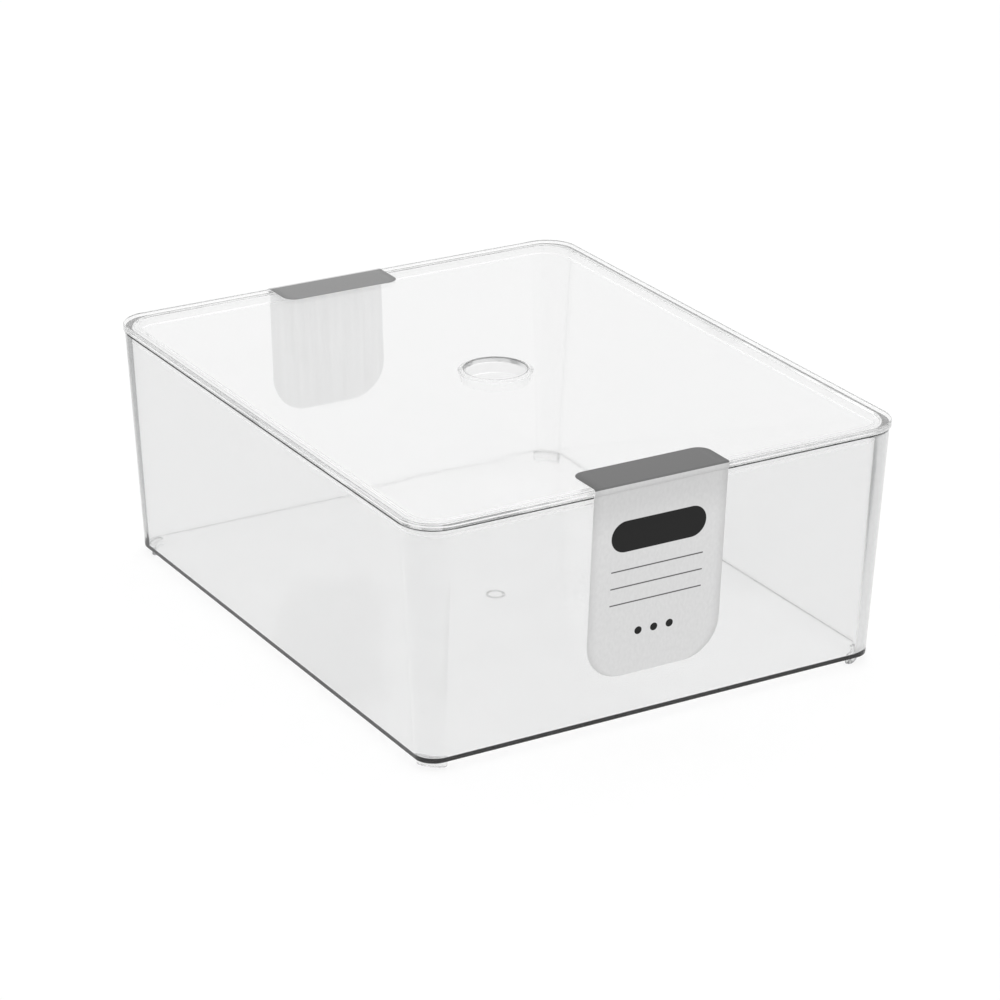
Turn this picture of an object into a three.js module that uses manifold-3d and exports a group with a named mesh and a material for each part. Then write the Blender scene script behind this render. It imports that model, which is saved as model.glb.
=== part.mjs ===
// Clear storage box: a drafted tub with a curved foot moulded along each base corner, a lift-off lid with
// a collared finger hole, and two paper seal labels that run from the lid's top down the tub's wall.
// Each label is slit along the seam between lid and tub, as it is once the box has been opened.
// Millimetres, +Z up. The front faces -Y. The origin is under the middle, level with the feet's soles.

import * as THREE from 'three';
import { mergeVertices } from 'three/addons/utils/BufferGeometryUtils.js';
import Module from 'manifold-3d';

const wasm = await Module();
wasm.setup();

// Lid plate
const lidWidth = 200;
const lidLength = 240;
const lidThickness = 2.5;
const lidCorner = 13;
const lidTopRound = 0.5;
const lidLowerRound = 0.3;

// Tub
const tubHeight = 89.3;
const wall = 2;
const floorThickness = 1.3;
const draft = 5;
const rimInset = 0.6;
const rimRound = 0.6;
const baseRound = 0.3;
const floorFillet = 0.4;
const seatGap = 0.3;

// Moulding gate under the floor: a shallow round recess with the sprue's stub in it
const gateDiameter = 7;
const gateDepth = 0.6;
const stubDiameter = 2;
const stubHeight = 0.3;

// Skirt under the lid that drops inside the tub's walls
const skirtDepth = 3.5;
const skirtThickness = 1.8;
const skirtClearance = 0.5;

// Finger hole and the collar that hangs round it
const holeDiameter = 23.6;
const holeRound = 0.7;
const collarThickness = 2;
const collarDepth = 4;
const collarTaper = 0.8;
const collarRound = 0.6;

// Feet: curved ribs with round ends, one along each corner of the base
const footHeight = 3;
const footWidth = 3.2;
const footBend = 11.6;
const footInset = 0.8;
const footSpreadDegrees = 66;

// Seal labels
const labelThickness = 0.35;
const labelGap = 0.25;
const labelSlit = 0.3;
const tabCorner = 5;
const panelCorner = 14.5;
const frontLabel = { name: 'front_label', width: 55, shift: -3.5, tabDepth: 16.5, panelLength: 72 };
const rearLabel = { name: 'rear_label', width: 49.5, shift: -8.1, tabDepth: 17.5, panelLength: 50.2 };

// Smoothness of round stretches
const cornerSteps = 6;
const edgeSteps = 4;
const turnSteps = 48;

// How far a cutter runs past what it cuts
const overrun = 1;

// Heights that follow from the sizes above
const rimZ = footHeight + tubHeight;
const lidBottomZ = rimZ + seatGap;
const lidTopZ = lidBottomZ + lidThickness;

const clearPlastic = { color: 0xeef0f0, roughness: 0.08, metalness: 0, transparent: true, opacity: 0.3 };
const tabPaper = { color: 0x757575, roughness: 0.6, metalness: 0 };
const panelPaper = { color: 0xd4d4d4, roughness: 0.55, metalness: 0 };

// Turns a closed geometry into a solid that can be cut and joined.
function solid(geometry) {
  const bare = geometry.index ? geometry.toNonIndexed() : geometry.clone();
  bare.deleteAttribute('normal');
  bare.deleteAttribute('uv');
  const merged = mergeVertices(bare, 1e-5);
  const triangles = [];
  for (let i = 0; i < merged.index.count; i += 3) {
    const [a, b, c] = [0, 1, 2].map((k) => merged.index.getX(i + k));
    if (a !== b && b !== c && c !== a) triangles.push(a, b, c);
  }
  return new wasm.Manifold(new wasm.Mesh({
    numProp: 3,
    vertProperties: new Float32Array(merged.attributes.position.array),
    triVerts: new Uint32Array(triangles),
  }));
}

// Gives a named mesh of a finished solid.
function piece(name, body, look) {
  const { vertProperties, triVerts } = body.getMesh();
  const geometry = new THREE.BufferGeometry();
  geometry.setAttribute('position', new THREE.BufferAttribute(vertProperties, 3));
  geometry.setIndex(new THREE.BufferAttribute(triVerts, 1));
  geometry.computeVertexNormals();
  const mesh = new THREE.Mesh(geometry, new THREE.MeshStandardMaterial(look));
  mesh.name = name;
  return mesh;
}

// The lid's outline drawn in by an inset, as a level ring of points with corners of some radius.
function ring(inset, z, corner = lidCorner - inset) {
  const x = lidWidth / 2 - inset - corner;
  const y = lidLength / 2 - inset - corner;
  const outline = new THREE.Path();
  [[x, y], [-x, y], [-x, -y], [x, -y]].forEach(([cx, cy], quarter) => {
    const start = (quarter * Math.PI) / 2;
    outline.absarc(cx, cy, corner, start, start + Math.PI / 2);
  });
  return outline.getPoints(cornerSteps).map((p) => new THREE.Vector3(p.x, p.y, z));
}

// Skins a stack of matching rings. A loop joins the last ring to the first, and otherwise caps close it.
function loft(rings, loop = false) {
  const count = rings[0].length;
  const points = rings.flat();
  const faces = [];
  const last = loop ? rings.length : rings.length - 1;
  for (let r = 0; r < last; r += 1) {
    const low = r * count;
    const high = ((r + 1) % rings.length) * count;
    for (let i = 0; i < count; i += 1) {
      const j = (i + 1) % count;
      faces.push(low + i, low + j, high + j, low + i, high + j, high + i);
    }
  }
  if (!loop) {
    const cap = THREE.ShapeUtils.triangulateShape(rings[0], []);
    const top = (rings.length - 1) * count;
    cap.forEach(([a, b, c]) => faces.push(c, b, a, top + a, top + b, top + c));
  }
  const geometry = new THREE.BufferGeometry().setFromPoints(points);
  geometry.setIndex(faces);
  return geometry;
}

// Quarter-round steps: [across, along] from the start of a fillet to its end, each from 0 to 1.
function quarterRound() {
  return Array.from({ length: edgeSteps + 1 }, (_, k) => {
    const angle = (k / edgeSteps) * (Math.PI / 2);
    return [1 - Math.cos(angle), Math.sin(angle)];
  });
}

// Revolves a closed [radius, height] profile about the Z axis.
function revolve(profile) {
  const points = profile.map(([r, z]) => new THREE.Vector2(r, z));
  return solid(new THREE.LatheGeometry(points, turnSteps).rotateX(Math.PI / 2));
}

// Inset of the tub's outer wall from the lid's outline, at a height above the tub's base.
function wallInset(height) {
  return rimInset + draft * (1 - height / tubHeight);
}

// One foot, bent about the origin with its middle towards +X, from its sole up into the floor.
function makeFoot() {
  const middle = footBend - footWidth / 2;
  const bend = (footSpreadDegrees * Math.PI) / 360 - Math.asin(footWidth / 2 / middle);
  const capX = middle * Math.cos(bend);
  const capY = middle * Math.sin(bend);
  const plan = new THREE.Shape();
  plan.absarc(0, 0, footBend, -bend, bend, false);
  plan.absarc(capX, capY, footWidth / 2, bend, bend + Math.PI, false);
  plan.absarc(0, 0, footBend - footWidth, bend, -bend, true);
  plan.absarc(capX, -capY, footWidth / 2, Math.PI - bend, 2 * Math.PI - bend, false);
  return solid(new THREE.ExtrudeGeometry(plan, {
    depth: footHeight + floorThickness / 2,
    bevelEnabled: false,
    curveSegments: cornerSteps,
  }));
}

// Radius of the tub's inner corners. It equals the outer one at the same height, so the corners are thicker.
function innerCorner(inset) {
  return lidCorner + wall - inset;
}

function makeTub() {
  const base = footHeight;
  const rings = [];
  quarterRound().forEach(([across, along]) => {
    const inset = wallInset(baseRound) + baseRound * (1 - along);
    rings.push(ring(inset, base + baseRound * across));
  });
  const rimInner = rimInset + wall;
  rings.push(ring(wallInset(tubHeight - rimRound), rimZ - rimRound));
  rings.push(ring(rimInset + rimRound, rimZ));
  const rimFace = rimInner - rimRound;
  rings.push(ring(rimFace, rimZ, innerCorner(rimFace)));
  const rimWall = wallInset(tubHeight - rimRound) + wall;
  rings.push(ring(rimWall, rimZ - rimRound, innerCorner(rimWall)));
  const filletTop = floorThickness + floorFillet;
  const filletInset = wallInset(filletTop) + wall;
  quarterRound().forEach(([across, along]) => {
    const inset = filletInset + floorFillet * across;
    rings.push(ring(inset, base + filletTop - floorFillet * along, innerCorner(inset)));
  });
  const gate = revolve([
    [0, base - overrun],
    [gateDiameter / 2, base - overrun],
    [gateDiameter / 2, base + gateDepth],
    [stubDiameter / 2, base + gateDepth],
    [stubDiameter / 2, base + gateDepth - stubHeight],
    [0, base + gateDepth - stubHeight],
  ]);
  const shell = solid(loft(rings)).subtract(gate);
  const footX = lidWidth / 2 - wallInset(0) - footInset - footBend;
  const footY = lidLength / 2 - wallInset(0) - footInset - footBend;
  const corners = [[1, 1], [-1, 1], [-1, -1], [1, -1]];
  const feet = corners.map(([sideX, sideY], quarter) => makeFoot()
    .rotate([0, 0, 45 + 90 * quarter])
    .translate([sideX * footX, sideY * footY, 0]));
  return piece('tub', wasm.Manifold.union([shell, ...feet]), clearPlastic);
}

function makeLid() {
  const plate = [ring(lidLowerRound, lidBottomZ), ring(0, lidBottomZ + lidLowerRound)];
  quarterRound().forEach(([across, along]) => {
    plate.push(ring(lidTopRound * across, lidTopZ - lidTopRound + lidTopRound * along));
  });

  // The skirt's faces lean with the tub's walls and its corners follow the tub's, so its clearance is even.
  const skirtInset = (z) => wallInset(z - footHeight) + wall + skirtClearance;
  const skirtLowZ = lidBottomZ - skirtDepth;
  const skirtTopZ = lidBottomZ + lidThickness / 2;
  const skirt = [
    [skirtInset(skirtLowZ), skirtLowZ],
    [skirtInset(skirtTopZ), skirtTopZ],
    [skirtInset(skirtTopZ) + skirtThickness, skirtTopZ],
    [skirtInset(skirtLowZ) + skirtThickness, skirtLowZ],
  ].map(([inset, z]) => ring(inset, z, innerCorner(inset)));

  const holeRadius = holeDiameter / 2;
  const collarLowZ = lidBottomZ - collarDepth;
  const collarLowRadius = holeRadius + collarThickness - collarTaper;
  const collar = revolve([
    [0, collarLowZ],
    [collarLowRadius - collarRound, collarLowZ],
    [collarLowRadius, collarLowZ + collarRound],
    [holeRadius + collarThickness, lidBottomZ],
    [holeRadius + collarThickness, lidBottomZ + lidThickness / 2],
    [0, lidBottomZ + lidThickness / 2],
  ]);
  const bore = [[0, collarLowZ - overrun], [holeRadius, collarLowZ - overrun]];
  quarterRound().forEach(([across, along]) => {
    bore.push([holeRadius + holeRound * across, lidTopZ - holeRound + holeRound * along]);
  });
  bore.push([holeRadius + holeRound, lidTopZ + overrun], [0, lidTopZ + overrun]);

  const body = solid(loft(plate)).add(solid(loft(skirt, true))).add(collar).subtract(revolve(bore));
  return piece('lid', body, clearPlastic);
}

// The part of a label that stays on the lid: a sheet bent over the lid's edge, its inner corners round.
function makeLabelTab({ name, width, tabDepth }) {
  const edge = -lidLength / 2;
  const roundY = edge + lidTopRound;
  const roundZ = lidTopZ - lidTopRound;
  const inner = lidTopRound + labelGap;
  const outer = inner + labelThickness;
  const bend = new THREE.Shape();
  bend.moveTo(edge - labelGap, lidBottomZ);
  bend.lineTo(edge - labelGap, roundZ);
  bend.absarc(roundY, roundZ, inner, Math.PI, Math.PI / 2, true);
  bend.lineTo(edge + tabDepth, lidTopZ + labelGap);
  bend.lineTo(edge + tabDepth, lidTopZ + labelGap + labelThickness);
  bend.absarc(roundY, roundZ, outer, Math.PI / 2, Math.PI, false);
  bend.lineTo(edge - labelGap - labelThickness, lidBottomZ);
  const sheet = new THREE.ExtrudeGeometry(bend, {
    depth: width,
    bevelEnabled: false,
    curveSegments: cornerSteps,
  });
  const toYZX = new THREE.Matrix4().makeBasis(
    new THREE.Vector3(0, 1, 0),
    new THREE.Vector3(0, 0, 1),
    new THREE.Vector3(1, 0, 0),
  );
  sheet.applyMatrix4(toYZX).translate(-width / 2, 0, 0);

  const half = width / 2;
  const near = edge - labelGap - labelThickness - overrun;
  const far = edge + tabDepth;
  const plan = new THREE.Shape();
  plan.moveTo(-half, near);
  plan.lineTo(half, near);
  plan.absarc(half - tabCorner, far - tabCorner, tabCorner, 0, Math.PI / 2, false);
  plan.absarc(-half + tabCorner, far - tabCorner, tabCorner, Math.PI / 2, Math.PI, false);
  plan.closePath();
  const cutter = new THREE.ExtrudeGeometry(plan, {
    depth: lidThickness + labelGap + labelThickness + 2 * overrun,
    bevelEnabled: false,
    curveSegments: 2 * cornerSteps,
  });
  cutter.translate(0, 0, lidBottomZ - overrun);
  return piece(`${name}_tab`, solid(sheet).intersect(solid(cutter)), tabPaper);
}

// The part of a label that stays on the tub: a flat sheet on the drafted wall, its lower corners round.
function makeLabelPanel({ name, width, panelLength }) {
  const half = width / 2;
  const plan = new THREE.Shape();
  plan.moveTo(half, -labelSlit);
  plan.lineTo(-half, -labelSlit);
  const cornerX = half - panelCorner;
  const cornerY = panelCorner - panelLength;
  plan.absarc(-cornerX, cornerY, panelCorner, Math.PI, 1.5 * Math.PI, false);
  plan.absarc(cornerX, cornerY, panelCorner, 1.5 * Math.PI, 2 * Math.PI, false);
  plan.closePath();
  const sheet = new THREE.ExtrudeGeometry(plan, {
    depth: labelThickness,
    bevelEnabled: false,
    curveSegments: 2 * cornerSteps,
  });
  sheet.translate(0, 0, labelGap);
  const panel = piece(`${name}_panel`, solid(sheet), panelPaper);
  panel.position.set(0, rimInset - lidLength / 2, rimZ);
  panel.rotation.x = Math.PI / 2 + Math.atan2(draft, tubHeight);
  return panel;
}

// A label faces the front until its group is turned to the rear.
function makeLabel(sizes, turn) {
  const label = new THREE.Group();
  label.add(makeLabelTab(sizes), makeLabelPanel(sizes));
  label.position.x = sizes.shift;
  label.rotation.z = turn;
  return label;
}

const box = new THREE.Group();
box.name = 'clear_storage_box';
box.add(makeTub(), makeLid(), makeLabel(frontLabel, 0), makeLabel(rearLabel, Math.PI));

export default box;
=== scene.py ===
"""Looks of the clear storage box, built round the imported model. Metres, +Z up, the front at -Y."""
import math

import bpy
from mathutils import Matrix, Vector


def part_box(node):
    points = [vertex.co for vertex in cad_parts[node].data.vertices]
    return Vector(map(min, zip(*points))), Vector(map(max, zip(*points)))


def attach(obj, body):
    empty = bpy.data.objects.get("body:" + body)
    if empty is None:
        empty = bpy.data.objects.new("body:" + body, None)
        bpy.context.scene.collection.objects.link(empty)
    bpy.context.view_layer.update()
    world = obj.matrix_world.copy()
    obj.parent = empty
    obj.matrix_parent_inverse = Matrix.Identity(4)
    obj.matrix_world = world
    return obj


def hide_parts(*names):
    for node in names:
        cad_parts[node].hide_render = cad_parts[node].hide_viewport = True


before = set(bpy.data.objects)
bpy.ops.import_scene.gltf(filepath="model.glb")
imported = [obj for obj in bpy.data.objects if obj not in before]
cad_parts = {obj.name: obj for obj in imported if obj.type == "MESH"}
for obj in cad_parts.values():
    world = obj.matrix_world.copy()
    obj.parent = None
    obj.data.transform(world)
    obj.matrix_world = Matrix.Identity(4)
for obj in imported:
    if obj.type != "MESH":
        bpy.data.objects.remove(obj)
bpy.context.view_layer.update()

MM = 0.001

# Sizes of the lid that the frame doesn't give, as in the part's source. Some rounds are drawn finer here.
LID_THICKNESS = 2.5 * MM
LID_CORNER = 13 * MM
LID_TOP_ROUND = 0.5 * MM
LID_LOWER_ROUND = 0.3 * MM
SKIRT_DEPTH = 3.5 * MM
SKIRT_THICKNESS = 1.8 * MM
SKIRT_CLEARANCE = 0.5 * MM
SKIRT_ROUND = 0.2 * MM
SKIRT_INNER_ROOT = 0.4 * MM
SKIRT_OUTER_ROOT = 0.125 * MM
HOLE_RADIUS = 11.8 * MM
HOLE_ROUND = 0.3 * MM
COLLAR_THICKNESS = 2 * MM
COLLAR_DEPTH = 4 * MM
COLLAR_TAPER = 0.8 * MM
COLLAR_INNER_ROUND = 0.4 * MM
COLLAR_OUTER_ROUND = 0.6 * MM
COLLAR_ROOT = 0.5 * MM

# Sizes of the tub, likewise. Its inside corners are rounder than even walls would make them, less so at the
# base. The rim is drawn a hair below the solid's, which widens the seam. Outside and inside end on it at two
# shares of the wall.
WALL = 2 * MM
DRAFT = 5 * MM
CORNER_EXTRA = 2.7 * MM
CORNER_EXTRA_LOW = 1.9 * MM
FLOOR_THICKNESS = 1.3 * MM
FLOOR_FILLET = 0.2 * MM
BASE_ROUND = 0.3 * MM
RIM_ROUND = 0.6 * MM
RIM_DROP = 0.25 * MM
RIM_SPLITS = (0.45, 0.55)

# The gate mark under the floor is a ring groove round a core.
GATE_RADIUS = 3.5 * MM
GATE_DEPTH = 0.6 * MM
GATE_ROUND = 0.1 * MM
CORE_RADIUS = 2.9 * MM
CORE_HEIGHT = 0.55 * MM

# Feet, with a hair's gap to the base. FOOT_FLAT is the flat strip beside the rounds of a foot.
FOOT_HEIGHT = 3 * MM
FOOT_WIDTH = 3.2 * MM
FOOT_FLAT = 0.3 * FOOT_WIDTH
FOOT_BEND = 11.6 * MM
FOOT_INSET = 0.8 * MM
FOOT_SPREAD = math.radians(66)
FOOT_ROUND = 0.4 * MM
FOOT_TAPER = 0.2 * MM
FOOT_GAP = 0.05 * MM

# Widths of the flat strips beside the rounded edges of tub and lid.
WIDE_STRIP = 4 * MM
STRIP = 2 * MM
NARROW_STRIP = 0.3 * MM

# Labels. The drawn paper is thinner than its solid and lies closer to the plastic. A panel starts a slit
# below the lid, and its top stands off the wall by a lift that fades out along the bridge. UV_SIZE is the
# length of one UV unit.
TAB_CORNER = 5 * MM
PANEL_CORNER = 14.5 * MM
LABEL_THICKNESS = 0.2 * MM
LABEL_GAP = 0.06 * MM
LABEL_SLIT = 0.1 * MM
LABEL_BRIDGE = 2 * MM
LABEL_LIFT = 0.2 * MM
UV_SIZE = 100 * MM

# Steps of the drawn curves and sheets.
CORNER_STEPS = 20
FILLET_STEPS = 6
SHEET_COLUMNS = 12
SHEET_CORNER_STEPS = 14

# Greys of the label: its dark tab, its silver stock, its print and its back.
# The rear tab's grey is lighter than the front's as painted light: the same dark print, drawn lighter where
# more light falls at the rear.
TAB_PRINT_AND_LIGHT_GREYS = {"front_label": 0.2, "rear_label": 0.31}
PANEL_GREY = 0.72
PRINT_GREY = 0.02
RULE_GREY = 0.12
BACKING_GREY = 0.92

# Painted shade: the stock is drawn a little darker by the fold, where the lid's overhang shades it: between
# which distances in mm it changes, and the shares there.
SHADE_SPAN = (8, 20)
SHADE_SHARES = (0.875, 0.985)

# How far the tab's dark print runs past the fold.
TAB_PRINT_ENDS = {"front_label": 1.0 * MM, "rear_label": -0.8 * MM}

# Generic print on the panel, in millimetres across and down from the fold.
PILL = (0, 21)
PILL_HALF = (19.5, 6)
RULE_LINES = (34, 40.5, 47)
RULE_HALF = (19, 0.25)
DOT_LINE = 59
DOT_PITCH = 6.5
DOT_HALF = (1.5, 1.5)
PRINT_SOFT = 0.05

# Paper: grain per metre, where it is cut off, and what it does to the grey, the gloss and the surface.
FIBRE_SCALE = 900
FIBRE_DETAIL = 4
FIBRE_STRETCH = (1, 0.6, 1)
FIBRE_SPAN = (0.3, 0.7)
FIBRE_TONES = (0.965, 1.03)
FIBRE_BUMP = (0.15, 0.05 * MM)
PAPER_ROUGHNESS = (0.55, 0.68)
PAPER_GLOSS = 0.1
STREAK_SCALE = 420
STREAK_DETAIL = 2
STREAK_STRETCH = (1, 0.03, 1)
STREAK_SPAN = (0.35, 0.65)
STREAK_TONES = (0.95, 1.03)
BACKING_SPAN = (0.3, 0.7)
BACKING_ROUGHNESS = (0.5, 0.65)

# Clear plastic. Light is lost inside it at a rate per metre, about evenly over the colours. Haze and slow
# ripples vary over it.
PLASTIC_IOR = 1.59
TUB_LOSS = 37
LID_LOSS = 1.1
LOSS_COLOUR = (0.3, 0.31, 0.31, 1)
HAZE_SCALE = 45
HAZE_DETAIL = 3
HAZE_SPAN = (0.35, 0.7)
HAZE = (0.012, 0.04)
RIPPLE_SCALE = 30
RIPPLE_DETAIL = 1
RIPPLE_BUMP = (0.12, 0.5 * MM)

# The tub is hazier from just above its floor down: between which heights over the floor, and by how much.
WEAR_HEIGHTS = (1 * MM, 0.2 * MM)
FLOOR_HAZE = 0.08

# The lid has a slight tint. Its hole has a hazy wall and a thin dark line of painted shade round the upper
# edge.
LID_TINT = 0.98
HOLE_HAZE = 0.3
HOLE_SHADE_WIDTH = 0.45 * MM
HOLE_SHADE_GREY = 0.2
HOLE_SOFT = 0.1 * MM

# Places in the frame.
lid_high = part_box("lid")[1]
tub_low, tub_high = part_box("tub")
HALF_X = lid_high.x
HALF_Y = lid_high.y
LID_TOP = lid_high.z
LID_BOTTOM = LID_TOP - LID_THICKNESS
SOLE = tub_low.z
BASE = SOLE + FOOT_HEIGHT
FLOOR = BASE + FLOOR_THICKNESS
RIM = tub_high.z - RIM_DROP
RIM_INSET = HALF_X - tub_high.x

# Photograph's camera: where it looks from, in degrees and metres, and how it is aimed.
VIEW_AZIMUTH = -30.559
VIEW_ELEVATION = 22.474
VIEW_ROLL = 0.361
VIEW_DISTANCE = 1433.77 * MM
AIM_HEIGHT = 53 * MM
AIM_RIGHT = 1.9 * MM
AIM_UP = -9.98 * MM
LENS_MM = 137.86
SENSOR_MM = 36.0
CLIP_START = 0.01
CLIP_END = 50

# The studio floor lies a hair below the soles. It glows beside the light that falls on it: FLOOR_WHITE for
# the camera, and FLOOR_GLOW as plastic and paper see it.
STUDIO_HALF = 6.0
STUDIO_LEVEL = -0.05 * MM
STUDIO_GREY = 0.2
STUDIO_ROUGHNESS = 0.9
FLOOR_WHITE = 0.8
FLOOR_GLOW = 0.752

# Lamps: where each stands, its width and height, and its strength over what lies behind it.
LAMPS = {
    "key_softbox": ((0.4, 0.25, 1.1), (0.7, 0.7), 0.8),
    "rear_strip": ((-0.45, 1.1, 0.75), (0.7, 0.35), 0.8),
    "rear_panel": ((0.75, 1.28, 0.66), (1.4, 1.1), 0.05),
}

# Light is followed through many walls and along the plastic.
BOUNCES = 256


def soft_path(corners):
    """A (u, z) path with rounded corners, as (point, normal) pairs. The normal is to the path's right."""
    path = []
    points = [Vector(corner[:2]) for corner in corners]
    for i, (here, corner) in enumerate(zip(points, corners)):
        if i == 0 or i == len(points) - 1:
            ahead = points[1] - here if i == 0 else here - points[-2]
            ahead.normalize()
            path.append((here, Vector((ahead.y, -ahead.x))))
            continue
        before = (here - points[i - 1]).normalized()
        after = (points[i + 1] - here).normalized()
        turn = math.atan2(before.x * after.y - before.y * after.x, before.dot(after))
        radius = corner[2]
        start = here - before * radius * math.tan(abs(turn) / 2)
        side = Vector((-before.y, before.x)) * math.copysign(1, turn)
        for k in range(FILLET_STEPS + 1):
            angle = abs(turn) * k / FILLET_STEPS
            point = start + radius * (math.sin(angle) * before + (1 - math.cos(angle)) * side)
            ahead = math.cos(angle) * before + math.sin(angle) * side
            path.append((point, Vector((ahead.y, -ahead.x))))
    return path


def box_rings(corners, extra=None):
    """Rings inside the lid's outline, from corners of (inset, z, rounding), with extra radius by height."""
    path = soft_path([(-inset, z, radius) for inset, z, radius in corners])
    rings = []
    for point, normal in path:
        more = extra(point.y) if extra else 0
        rings.append(("box", point, normal, LID_CORNER + more + point.x))
    return rings


def round_rings(corners):
    """Round rings about the middle, from corners of (radius, z, rounding)."""
    return [("round", point, normal, point.x) for point, normal in soft_path(corners)]


def ring_vertices(ring):
    """Points and normals of one ring, counterclockwise seen from above."""
    kind, point, normal, radius = ring
    vertices = []
    steps = CORNER_STEPS
    for quarter in range(4):
        for k in range(steps + 1):
            if kind == "round":
                angle = math.pi / 2 * (quarter + (k + 0.5) / (steps + 1))
                middle = Vector((0, 0))
            else:
                angle = math.pi / 2 * (quarter + k / steps)
                side_x = 1 if quarter in (0, 3) else -1
                side_y = 1 if quarter in (0, 1) else -1
                reach = point.x - radius
                middle = Vector((side_x * (HALF_X + reach), side_y * (HALF_Y + reach)))
            way = Vector((math.cos(angle), math.sin(angle)))
            spot = middle + way * radius
            vertices.append((
                Vector((spot.x, spot.y, point.y)),
                Vector((way.x * normal.x, way.y * normal.x, normal.y)),
            ))
    return vertices


def new_object(name, vertices, faces, normals=None):
    """A smooth mesh in the scene, with its own normals where they are given."""
    mesh = bpy.data.meshes.new(name)
    mesh.from_pydata([tuple(v) for v in vertices], [], faces)
    mesh.validate()
    mesh.polygons.foreach_set("use_smooth", [True] * len(mesh.polygons))
    if normals:
        mesh.normals_split_custom_set_from_vertices([tuple(n.normalized()) for n in normals])
    mesh.update()
    obj = bpy.data.objects.new(name, mesh)
    bpy.context.scene.collection.objects.link(obj)
    return obj


def skin(name, rings, loop=False):
    """One closed skin through the rings. A ring of no radius closes an end, and a loop closes on itself."""
    vertices, normals, spans = [], [], []
    for ring in rings:
        kind, point, normal = ring[:3]
        start = len(vertices)
        if kind == "round" and point.x == 0:
            vertices.append(Vector((0, 0, point.y)))
            normals.append(Vector((0, 0, normal.y)))
        else:
            for spot, way in ring_vertices(ring):
                vertices.append(spot)
                normals.append(way)
        spans.append(range(start, len(vertices)))
    faces = []
    count = 4 * (CORNER_STEPS + 1)
    pairs = list(zip(spans, spans[1:]))
    if loop:
        pairs.append((spans[-1], spans[0]))
    for low, high in pairs:
        for i in range(count):
            j = (i + 1) % count
            if len(low) == 1:
                faces.append((low[0], high[j], high[i]))
            elif len(high) == 1:
                faces.append((low[i], low[j], high[0]))
            else:
                faces.append((low[i], low[j], high[j], high[i]))
    return new_object(name, vertices, faces, normals)


def wall_inset(z):
    """Inset of the tub's outer wall from the lid's outline at a height."""
    return RIM_INSET + DRAFT * (RIM - z) / (RIM - BASE)


def corner_extra(z):
    """How much rounder the tub's inside corners are than even walls would make them, at a height."""
    return CORNER_EXTRA_LOW + (CORNER_EXTRA - CORNER_EXTRA_LOW) * (z - BASE) / (RIM - BASE)


def foot_outline(side_x, side_y, reach):
    """Points and outward ways round the plan of a foot at a base corner, drawn out by a reach."""
    middle = FOOT_BEND - FOOT_WIDTH / 2
    bend = FOOT_SPREAD / 2 - math.asin(FOOT_WIDTH / 2 / middle)
    half = FOOT_WIDTH / 2 + reach
    steps = CORNER_STEPS // 2
    facing = math.atan2(side_y, side_x)
    inset = wall_inset(BASE) + FOOT_INSET + FOOT_BEND
    corner = Vector((side_x * (HALF_X - inset), side_y * (HALF_Y - inset)))

    def way(angle):
        return Vector((math.cos(facing + angle), math.sin(facing + angle)))

    outline = []
    for k in range(steps):
        out = way(bend * (2 * k / steps - 1))
        outline.append((corner + out * (middle + half), out))
    for k in range(steps):
        out = way(bend + math.pi * k / steps)
        outline.append((corner + way(bend) * middle + out * half, out))
    for k in range(steps):
        out = way(bend * (1 - 2 * k / steps))
        outline.append((corner + out * (middle - half), -out))
    for k in range(steps):
        out = way(math.pi - bend + math.pi * k / steps)
        outline.append((corner + way(-bend) * middle + out * half, out))
    return outline


def make_feet():
    """The four feet, a hair below the base so that its edge stays dark above them."""
    top = BASE - FOOT_GAP
    path = soft_path([
        (-FOOT_FLAT, SOLE, 0),
        (-FOOT_TAPER, SOLE, FOOT_ROUND),
        (0, top, FOOT_TAPER),
        (-FOOT_FLAT, top, 0),
    ])
    vertices, normals, faces = [], [], []
    for side_x, side_y in ((1, 1), (-1, 1), (-1, -1), (1, -1)):
        loops = []
        for point, normal in path:
            start = len(vertices)
            for spot, out in foot_outline(side_x, side_y, point.x):
                vertices.append(Vector((spot.x, spot.y, point.y)))
                normals.append(Vector((out.x * normal.x, out.y * normal.x, normal.y)))
            loops.append(list(range(start, len(vertices))))
        faces.append(tuple(reversed(loops[0])))
        for low, high in zip(loops, loops[1:]):
            for i in range(len(low)):
                j = (i + 1) % len(low)
                faces.append((low[i], low[j], high[j], high[i]))
        faces.append(tuple(loops[-1]))
    return new_object("tub_feet", vertices, faces, normals)


def make_tub():
    """The tub's shell, from the gate mark out under the base, up, over the rim and down to the floor."""
    ceiling = BASE + GATE_DEPTH
    core = ceiling - CORE_HEIGHT
    base_inset = wall_inset(BASE)
    inner_inset = wall_inset(FLOOR) + WALL
    outer_split, inner_split = (RIM_INSET + share * WALL for share in RIM_SPLITS)
    gate = round_rings([
        (0, core, 0),
        (CORE_RADIUS, core, GATE_ROUND),
        (CORE_RADIUS, ceiling, GATE_ROUND),
        (GATE_RADIUS, ceiling, GATE_ROUND),
        (GATE_RADIUS, BASE, GATE_ROUND),
        (2 * GATE_RADIUS, BASE, 0),
    ])
    outside = box_rings([
        (base_inset + WIDE_STRIP, BASE, 0),
        (base_inset, BASE, BASE_ROUND),
        (RIM_INSET, RIM, RIM_ROUND),
        (outer_split, RIM, 0),
    ])
    inside = box_rings([
        (inner_split, RIM, 0),
        (RIM_INSET + WALL, RIM, RIM_ROUND),
        (inner_inset, FLOOR, FLOOR_FILLET),
        (inner_inset + WIDE_STRIP, FLOOR, 0),
    ], corner_extra)
    middle = round_rings([(GATE_RADIUS, FLOOR, 0), (0, FLOOR, 0)])
    return skin("tub_shell", gate + outside + inside + middle)


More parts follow.
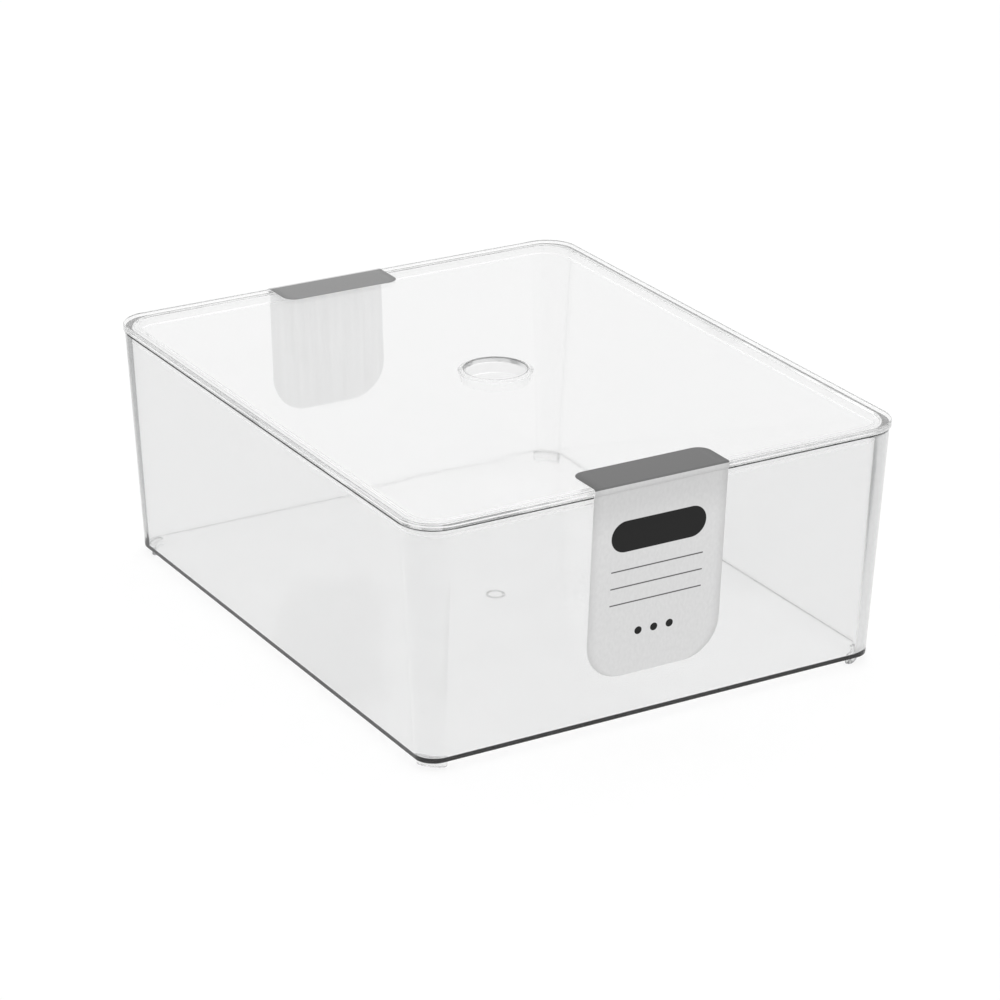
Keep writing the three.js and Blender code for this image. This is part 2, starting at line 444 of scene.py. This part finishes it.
def make_lid():
    """The lid's plate, from its lower edge over the top, down the hole's collar and out to the skirt."""
    skirt_low = LID_BOTTOM - SKIRT_DEPTH
    skirt_out = wall_inset(LID_BOTTOM) + WALL + SKIRT_CLEARANCE
    skirt_in = skirt_out + SKIRT_THICKNESS
    skirt_lean = wall_inset(skirt_low) - wall_inset(LID_BOTTOM)
    collar_low = LID_BOTTOM - COLLAR_DEPTH
    collar_out = HOLE_RADIUS + COLLAR_THICKNESS
    edge = box_rings([
        (WIDE_STRIP, LID_BOTTOM, 0),
        (0, LID_BOTTOM, LID_LOWER_ROUND),
        (0, LID_TOP, LID_TOP_ROUND),
        (WIDE_STRIP, LID_TOP, 0),
    ])
    hole = round_rings([
        (collar_out + STRIP, LID_TOP, 0),
        (HOLE_RADIUS, LID_TOP, HOLE_ROUND),
        (HOLE_RADIUS, collar_low, COLLAR_INNER_ROUND),
        (collar_out - COLLAR_TAPER, collar_low, COLLAR_OUTER_ROUND),
        (collar_out, LID_BOTTOM, COLLAR_ROOT),
        (collar_out + STRIP, LID_BOTTOM, 0),
    ])
    skirt = box_rings([
        (skirt_in + STRIP, LID_BOTTOM, 0),
        (skirt_in, LID_BOTTOM, SKIRT_INNER_ROOT),
        (skirt_in + skirt_lean, skirt_low, SKIRT_ROUND),
        (skirt_out + skirt_lean, skirt_low, SKIRT_ROUND),
        (skirt_out, LID_BOTTOM, SKIRT_OUTER_ROOT),
        (skirt_out - NARROW_STRIP, LID_BOTTOM, 0),
    ], corner_extra)
    return skin("lid_plate", edge[1:] + hole + skirt, loop=True)


def round_end(corner, width):
    """(distance from the end, half width) down a sheet's end with round corners."""
    rows = []
    for k in range(SHEET_CORNER_STEPS + 1):
        angle = math.pi / 2 * k / SHEET_CORNER_STEPS
        rows.append((corner * (1 - math.cos(angle)), width / 2 - corner + corner * math.sin(angle)))
    return rows


def sheet(name, rows, centre_x, facing):
    """A closed thin sheet, printed side and back, with its places across and along as UVs.

    Each row of a front label is (y, z, outward y, outward z, half width, distance along).
    """
    vertices, marks = [], []
    for depth in (0, LABEL_THICKNESS):
        for y, z, out_y, out_z, half, along in rows:
            for c in range(SHEET_COLUMNS + 1):
                x = half * (2 * c / SHEET_COLUMNS - 1)
                spot = Vector((x, y - out_y * depth, z - out_z * depth))
                vertices.append(Vector((centre_x + facing * spot.x, facing * spot.y, spot.z)))
                marks.append((x, along))
    wide = SHEET_COLUMNS + 1
    deep = len(rows) * wide
    faces, outer = [], []
    for r in range(len(rows) - 1):
        for c in range(SHEET_COLUMNS):
            a = r * wide + c
            quad = (a, a + wide, a + wide + 1, a + 1)
            faces.append(quad)
            outer.append(True)
            faces.append(tuple(deep + i for i in reversed(quad)))
            outer.append(False)
    rim = list(range(wide))
    rim += [r * wide + wide - 1 for r in range(1, len(rows))]
    rim += [(len(rows) - 1) * wide + c for c in range(wide - 2, -1, -1)]
    rim += [r * wide for r in range(len(rows) - 2, 0, -1)]
    for i, j in zip(rim, rim[1:] + rim[:1]):
        faces.append((i, j, deep + j, deep + i))
        outer.append(False)
    obj = new_object(name, vertices, faces)
    mesh = obj.data
    layer = mesh.uv_layers.new(name="sheet")
    for loop in mesh.loops:
        x, along = marks[loop.vertex_index]
        layer.data[loop.index].uv = (x / UV_SIZE, along / UV_SIZE)
    for polygon, is_outer in zip(mesh.polygons, outer):
        polygon.material_index = 0 if is_outer else 1
        polygon.use_smooth = is_outer
    return obj


def label_path(tab_depth):
    """The line that a front label's outer face follows over the lid's edge, as (point, normal) pairs."""
    lift = LABEL_GAP + LABEL_THICKNESS
    corners = [
        (HALF_Y - tab_depth, LID_TOP + lift, 0),
        (HALF_Y + lift, LID_TOP + lift, LID_TOP_ROUND + lift),
        (HALF_Y + lift, LID_BOTTOM, 0),
    ]
    return soft_path([(-u, z, r) for u, z, r in corners])


def make_label(name, centre_x, facing):
    """A label's two pieces: the tab on the lid and the panel on the tub's wall."""
    tab_low, tab_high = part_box(name + "_tab")
    panel_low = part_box(name + "_panel")[0]
    width = tab_high.x - tab_low.x
    reach = tab_high.y - tab_low.y
    side = max(abs(tab_low.y), abs(tab_high.y))
    tab_depth = HALF_Y - (side - reach)

    rows = []
    path = label_path(tab_depth)
    start = path[0][0]
    fold = tab_depth - LID_TOP_ROUND
    print_end = TAB_PRINT_ENDS[name]
    for along, half in round_end(TAB_CORNER, width):
        rows.append((start.x - along, start.y, 0, 1, half, along - fold - print_end))
    travelled = TAB_CORNER - fold
    last = Vector((start.x - TAB_CORNER, start.y))
    for point, normal in path[1:]:
        travelled += (point - last).length
        rows.append((point.x, point.y, -abs(normal.x), abs(normal.y), width / 2, travelled - print_end))
        last = point
    tab = sheet(name + "_tab_sheet", rows, centre_x, facing)

    lean = math.atan2(DRAFT, RIM - BASE)
    out_y, out_z = -math.cos(lean), -math.sin(lean)
    lift = LABEL_GAP + LABEL_THICKNESS
    top = LID_BOTTOM - LABEL_SLIT
    length = (top - panel_low.z) / math.cos(lean)

    def on_wall(along):
        left = max(0, 1 - along / LABEL_BRIDGE)
        y = -(HALF_Y - wall_inset(top)) + math.sin(lean) * along - LABEL_LIFT * left * left
        z = top - math.cos(lean) * along
        return y + out_y * lift, z + out_z * lift

    rows = []
    steps = [LABEL_BRIDGE * k / FILLET_STEPS for k in range(FILLET_STEPS + 1)]
    for along in steps + [length / 4, length / 2]:
        rows.append((*on_wall(along), out_y, out_z, width / 2, travelled + along))
    for from_end, half in reversed(round_end(PANEL_CORNER, width)):
        along = length - from_end
        rows.append((*on_wall(along), out_y, out_z, half, travelled + along))
    panel = sheet(name + "_panel_sheet", rows, centre_x, facing)
    return tab, panel


def grey(value):
    return (value, value, value, 1)


def node_material(name):
    """A new material, its node tree as (nodes, links), and its shader."""
    material = bpy.data.materials.new(name)
    material.use_nodes = True
    nodes = material.node_tree.nodes
    return material, (nodes, material.node_tree.links), nodes["Principled BSDF"]


def math_node(tree, operation, *values):
    """The result of one Math node, whose inputs are numbers or other nodes' results."""
    nodes, links = tree
    node = nodes.new("ShaderNodeMath")
    node.operation = operation
    for socket, value in zip(node.inputs, values):
        if isinstance(value, (int, float)):
            socket.default_value = value
        else:
            links.new(value, socket)
    return node.outputs[0]


def distance(tree, x, y):
    """How far a place (x, y) lies from the middle."""
    squares = math_node(tree, "MULTIPLY", x, x)
    return math_node(tree, "SQRT", math_node(tree, "MULTIPLY_ADD", y, y, squares))


def split_place(tree, place):
    """The x, y and z of a place."""
    nodes, links = tree
    split = nodes.new("ShaderNodeSeparateXYZ")
    links.new(place, split.inputs[0])
    return tuple(split.outputs)


def noise(tree, place, scale, detail, stretch=(1, 1, 1)):
    """Noise of a scale per metre at a place, drawn out along an axis by a small stretch."""
    nodes, links = tree
    spread = nodes.new("ShaderNodeMapping")
    spread.inputs["Scale"].default_value = stretch
    links.new(place, spread.inputs["Vector"])
    grain = nodes.new("ShaderNodeTexNoise")
    grain.inputs["Scale"].default_value = scale
    grain.inputs["Detail"].default_value = detail
    links.new(spread.outputs[0], grain.inputs["Vector"])
    return grain.outputs["Fac"]


def remap(tree, value, span, ends):
    """A value that runs from one end to the other while the first value runs over a span."""
    nodes, links = tree
    node = nodes.new("ShaderNodeMapRange")
    for name, number in zip(("From Min", "From Max", "To Min", "To Max"), (*span, *ends)):
        node.inputs[name].default_value = number
    links.new(value, node.inputs["Value"])
    return node.outputs["Result"]


def roughen(tree, shader, height, strength, depth):
    """A surface that rises and falls with a height, by a small depth."""
    nodes, links = tree
    bump = nodes.new("ShaderNodeBump")
    bump.inputs["Strength"].default_value = strength
    bump.inputs["Distance"].default_value = depth
    links.new(height, bump.inputs["Height"])
    links.new(bump.outputs[0], shader.inputs["Normal"])


def floor_marks(tree, place):
    """The tub's wear as more haze near the floor, and no tint."""
    height = split_place(tree, place)[2]
    span = [FLOOR + above for above in WEAR_HEIGHTS]
    return remap(tree, height, span, (0, FLOOR_HAZE)), None


def hole_haze_and_shade(tree, place):
    """The haze of the finger hole's wall, and the lid's tint with a dark line of painted shade round the
    hole.
    """
    x, y, z = split_place(tree, place)
    out = distance(tree, x, y)
    wall = remap(tree, out, (HOLE_RADIUS + HOLE_SOFT, HOLE_RADIUS + 2 * HOLE_SOFT), (HOLE_HAZE, 0))
    # Painted shade: a thin dark line in the lid's colour round the hole's upper edge.
    shade_out = HOLE_RADIUS + HOLE_SHADE_WIDTH
    shade_low = LID_TOP - HOLE_SHADE_WIDTH
    beside = remap(tree, out, (shade_out, shade_out + HOLE_SOFT), (1, 0))
    upper = remap(tree, z, (shade_low - HOLE_SOFT, shade_low), (0, 1))
    shade_line = math_node(tree, "MULTIPLY", beside, upper)
    return wall, remap(tree, shade_line, (0, 1), (LID_TINT, HOLE_SHADE_GREY))


def clear_plastic(name, loss, marks):
    """Clear moulded plastic. The marks are a function from (tree, place) to more haze and a tint, painted
    shade included, or None.
    """
    material, tree, shader = node_material(name)
    nodes, links = tree
    shader.inputs["Base Color"].default_value = grey(1)
    shader.inputs["Transmission Weight"].default_value = 1
    shader.inputs["IOR"].default_value = PLASTIC_IOR
    place = nodes.new("ShaderNodeTexCoord").outputs["Object"]
    haze = remap(tree, noise(tree, place, HAZE_SCALE, HAZE_DETAIL), HAZE_SPAN, HAZE)
    more, tint_and_shade = marks(tree, place)
    links.new(math_node(tree, "ADD", haze, more), shader.inputs["Roughness"])
    if tint_and_shade is not None:
        links.new(tint_and_shade, shader.inputs["Base Color"])
    roughen(tree, shader, noise(tree, place, RIPPLE_SCALE, RIPPLE_DETAIL), *RIPPLE_BUMP)
    absorb = nodes.new("ShaderNodeVolumeAbsorption")
    absorb.inputs["Color"].default_value = LOSS_COLOUR
    absorb.inputs["Density"].default_value = loss / (1 - LOSS_COLOUR[0])
    links.new(absorb.outputs["Volume"], nodes["Material Output"].inputs["Volume"])
    return material


def sheet_place(tree):
    """Across and along a label in millimetres, and the same as a vector in metres.

    Along is from the fold or, on a tab, from the end of its print.
    """
    nodes, links = tree
    layer = nodes.new("ShaderNodeUVMap")
    layer.uv_map = "sheet"
    u, v = split_place(tree, layer.outputs[0])[:2]
    across = math_node(tree, "MULTIPLY", u, UV_SIZE / MM)
    along = math_node(tree, "MULTIPLY", v, UV_SIZE / MM)
    scale = nodes.new("ShaderNodeVectorMath")
    scale.operation = "SCALE"
    scale.inputs["Scale"].default_value = UV_SIZE
    links.new(layer.outputs[0], scale.inputs[0])
    return across, along, scale.outputs[0]


def printed_bar(tree, across, along, middle, half_length, half_height):
    """1 inside a bar with round ends, and 0 outside its slightly soft edge."""
    aside = math_node(tree, "ABSOLUTE", math_node(tree, "SUBTRACT", across, middle[0]))
    aside = math_node(tree, "MAXIMUM", math_node(tree, "SUBTRACT", aside, half_length - half_height), 0.0)
    down = math_node(tree, "SUBTRACT", along, middle[1])
    edge = (half_height - PRINT_SOFT, half_height + PRINT_SOFT)
    return remap(tree, distance(tree, aside, down), edge, (1, 0))


def paint(tree, shader, ground, layers, flecks):
    """Layers of (mask, grey) over a ground grey, all mottled a little by the flecks, which on a label carry
    the painted shade by the fold too.
    """
    colour = ground
    for mask, value in layers:
        colour = math_node(tree, "MULTIPLY_ADD", mask, math_node(tree, "SUBTRACT", value, colour), colour)
    tree[1].new(math_node(tree, "MULTIPLY", colour, flecks), shader.inputs["Base Color"])


def label_paper(name, layers):
    """Printed satin paper, with painted shade by the fold. The layers are a function from (tree, across,
    along) to (mask, grey) pairs.
    """
    material, tree, shader = node_material(name)
    across, along, place = sheet_place(tree)
    fibre = noise(tree, place, FIBRE_SCALE, FIBRE_DETAIL, FIBRE_STRETCH)
    flecks = remap(tree, fibre, FIBRE_SPAN, FIBRE_TONES)
    # Painted shade: the stock is darker by the fold, under the lid's overhang.
    painted_shade = remap(tree, along, SHADE_SPAN, SHADE_SHARES)
    flecks_and_shade = math_node(tree, "MULTIPLY", flecks, painted_shade)
    paint(tree, shader, PANEL_GREY, layers(tree, across, along), flecks_and_shade)
    tree[1].new(remap(tree, fibre, FIBRE_SPAN, PAPER_ROUGHNESS), shader.inputs["Roughness"])
    shader.inputs["Specular IOR Level"].default_value = PAPER_GLOSS
    roughen(tree, shader, fibre, *FIBRE_BUMP)
    return material


def tab_print(value):
    """The tab's dark print, in some grey (lighter on the rear tab, as painted light), up to where its
    distance along is nought.
    """
    def layers(tree, across, along):
        return [(math_node(tree, "LESS_THAN", along, 0.0), value)]
    return layers


def panel_print(tree, across, along):
    """A dark bar, three ruled lines and three dots."""
    layers = [(printed_bar(tree, across, along, PILL, *PILL_HALF), PRINT_GREY)]
    for down in RULE_LINES:
        layers.append((printed_bar(tree, across, along, (0, down), *RULE_HALF), RULE_GREY))
    for aside in (-DOT_PITCH, 0, DOT_PITCH):
        layers.append((printed_bar(tree, across, along, (aside, DOT_LINE), *DOT_HALF), PRINT_GREY))
    return layers


def label_backing():
    """The label's plain back, with faint streaks of adhesive down it."""
    material, tree, shader = node_material("label_backing")
    place = sheet_place(tree)[2]
    streaks = noise(tree, place, STREAK_SCALE, STREAK_DETAIL, STREAK_STRETCH)
    paint(tree, shader, BACKING_GREY, [], remap(tree, streaks, STREAK_SPAN, STREAK_TONES))
    tree[1].new(remap(tree, streaks, BACKING_SPAN, BACKING_ROUGHNESS), shader.inputs["Roughness"])
    return material


def put_camera():
    """The photograph's camera, turned about the box and rolled a little."""
    azimuth, elevation, roll = (math.radians(v) for v in (VIEW_AZIMUTH, VIEW_ELEVATION, VIEW_ROLL))
    back = Vector((
        math.sin(azimuth) * math.cos(elevation),
        -math.cos(azimuth) * math.cos(elevation),
        math.sin(elevation),
    ))
    level = Vector((math.cos(azimuth), math.sin(azimuth), 0))
    rise = back.cross(level)
    right = math.cos(roll) * level + math.sin(roll) * rise
    up = math.cos(roll) * rise - math.sin(roll) * level
    data = bpy.data.cameras.new("camera")
    data.sensor_width = SENSOR_MM
    data.lens = LENS_MM
    data.clip_start = CLIP_START
    data.clip_end = CLIP_END
    camera = bpy.data.objects.new("camera", data)
    eye = Vector((0, 0, AIM_HEIGHT)) + back * VIEW_DISTANCE + right * AIM_RIGHT + up * AIM_UP
    camera.matrix_world = Matrix.Translation(eye) @ Matrix((right, up, back)).transposed().to_4x4()
    bpy.context.scene.collection.objects.link(camera)
    bpy.context.scene.camera = camera


def add_lamp(name, place, size, strength):
    """A soft rectangular lamp turned to the box. Its strength is added to what lies behind it."""
    data = bpy.data.lights.new(name, "AREA")
    data.shape = "RECTANGLE"
    data.size, data.size_y = size
    data.energy = strength * math.pi * size[0] * size[1]
    lamp = bpy.data.objects.new(name, data)
    lamp.location = place
    aim = Vector((0, 0, AIM_HEIGHT)) - Vector(place)
    lamp.rotation_euler = aim.to_track_quat("-Z", "Y").to_euler()
    bpy.context.scene.collection.objects.link(lamp)


def light_studio():
    """A plain white room and its soft lamps."""
    world = bpy.data.worlds.new("studio")
    bpy.context.scene.world = world
    world.use_nodes = True
    room = world.node_tree.nodes["Background"]
    room.inputs["Color"].default_value = grey(1)
    room.inputs["Strength"].default_value = 1
    for name, (place, size, strength) in LAMPS.items():
        add_lamp(name, place, size, strength)


def make_floor():
    """The studio's pale paper floor."""
    half = STUDIO_HALF
    corners = [(-half, -half), (half, -half), (half, half), (-half, half)]
    floor = new_object("floor", [(x, y, STUDIO_LEVEL) for x, y in corners], [(0, 1, 2, 3)])
    material, tree, shader = node_material("floor_paper")
    nodes, links = tree
    shader.inputs["Base Color"].default_value = grey(STUDIO_GREY)
    shader.inputs["Roughness"].default_value = STUDIO_ROUGHNESS
    shader.inputs["Specular IOR Level"].default_value = 0
    shader.inputs["Emission Color"].default_value = grey(1)
    seen = nodes.new("ShaderNodeLightPath").outputs["Is Camera Ray"]
    glow = math_node(tree, "MULTIPLY_ADD", seen, FLOOR_WHITE - FLOOR_GLOW, FLOOR_GLOW)
    links.new(glow, shader.inputs["Emission Strength"])
    floor.data.materials.append(material)


def put_piece(piece, body, slot, node, *materials):
    """A piece in its materials, on the body it rides on, for the node that it replaces."""
    for material in materials:
        piece.data.materials.append(material)
    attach(piece, body)
    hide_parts(node)


put_camera()
make_floor()
light_studio()

tub_plastic = clear_plastic("tub_plastic", TUB_LOSS, floor_marks)
lid_plastic = clear_plastic("lid_plastic", LID_LOSS, hole_haze_and_shade)
put_piece(make_tub(), "tub", "tub_plastic", "tub", tub_plastic)
put_piece(make_feet(), "tub", "tub_plastic", "tub", tub_plastic)
put_piece(make_lid(), "lid", "lid_plastic", "lid", lid_plastic)

panel_stock = label_paper("panel_paper", panel_print)
backing = label_backing()
for label, facing in (("front_label", 1), ("rear_label", -1)):
    low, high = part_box(label + "_tab")
    tab, panel = make_label(label, (low.x + high.x) / 2, facing)
    tab_stock = label_paper(label + "_tab_paper", tab_print(TAB_PRINT_AND_LIGHT_GREYS[label]))
    put_piece(tab, "lid", "tab_paper", label + "_tab", tab_stock, backing)
    put_piece(panel, "tub", "panel_paper", label + "_panel", panel_stock, backing)

scene = bpy.context.scene
scene.view_settings.view_transform = "Standard"
scene.cycles.max_bounces = BOUNCES
scene.cycles.transmission_bounces = BOUNCES
scene.cycles.glossy_bounces = BOUNCES
scene.cycles.blur_glossy = 0
